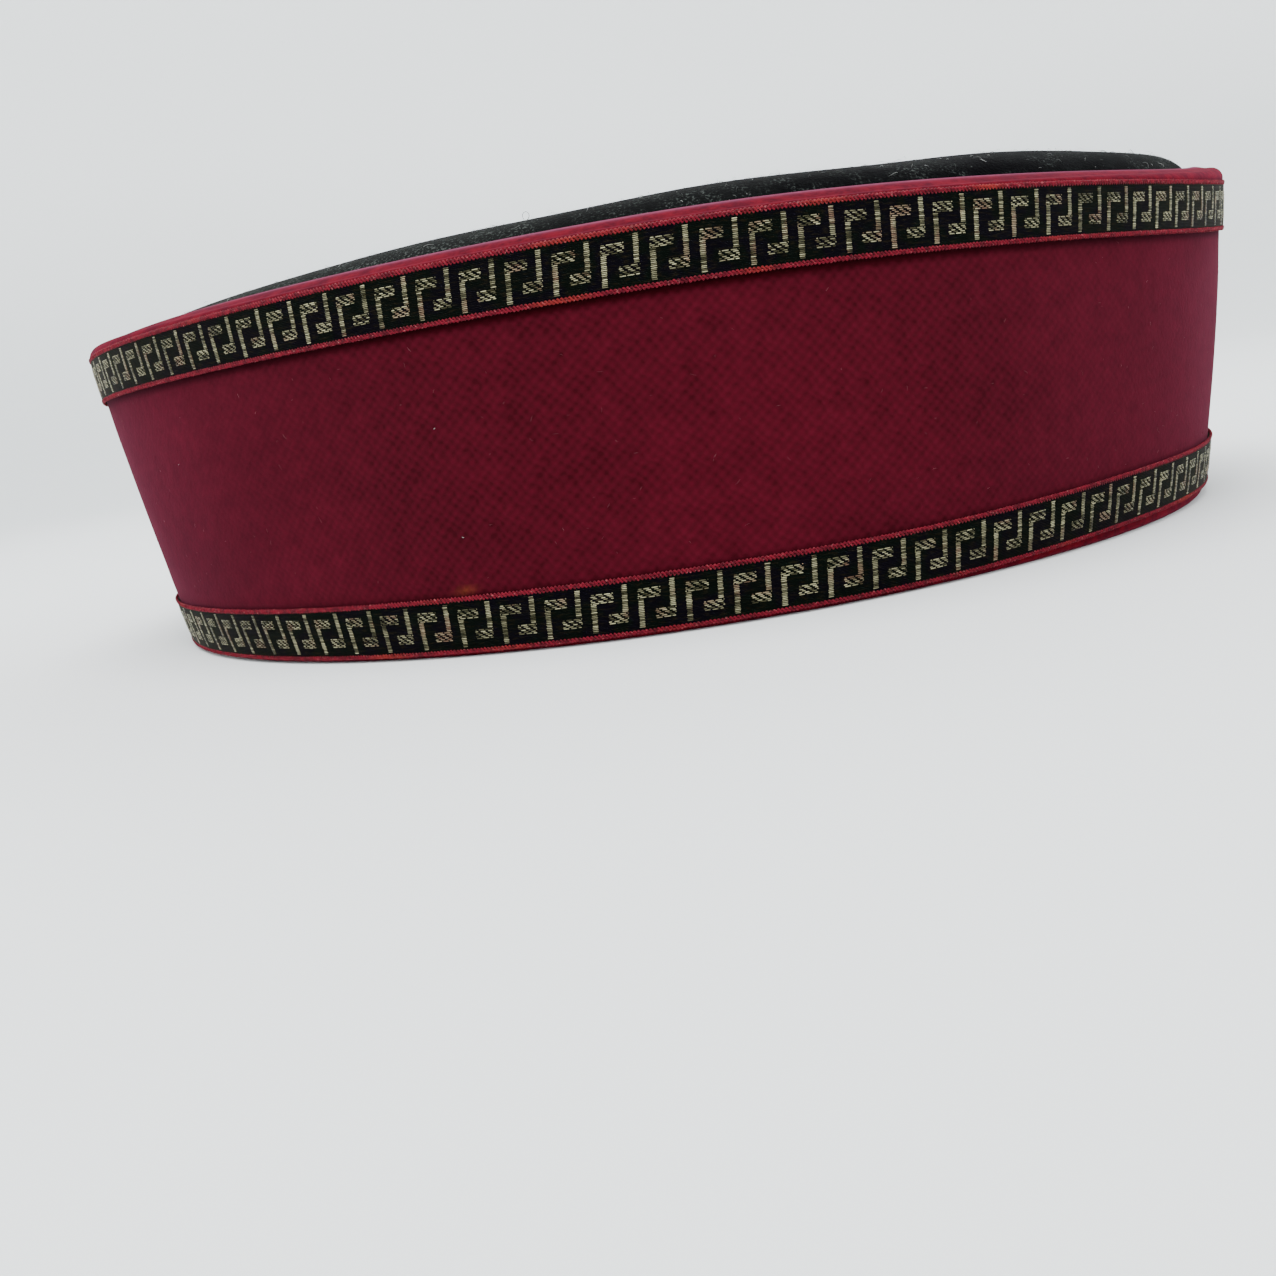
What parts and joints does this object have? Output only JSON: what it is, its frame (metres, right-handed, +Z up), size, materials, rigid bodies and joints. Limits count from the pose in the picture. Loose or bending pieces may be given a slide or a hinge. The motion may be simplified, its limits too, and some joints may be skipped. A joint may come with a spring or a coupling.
{
  "type": "prayer cap",
  "caption": "Stiff oval prayer cap with a flared velour side band, a low domed velvet crown and woven key-pattern trim round its top and bottom edges.",
  "frame": {"origin": "on the level of the cap's lower edge, under the middle of its overall plan", "axes": "+Z up through the crown, +X to the front of the cap, +Y to its left side"},
  "size_m": [0.2138, 0.1862, 0.0635],
  "materials": {
    "velour": "matt crimson velour",
    "velvet": "matt black velvet",
    "upper_trim": "black jacquard ribbon with silvery gold thread",
    "lower_trim": "black jacquard ribbon with silvery gold thread"
  },
  "bodies": {
    "root": {"side_wall": "velour", "crown": "velvet", "upper_ribbon": "upper_trim", "lower_ribbon": "lower_trim"}
  },
  "joints": []
}
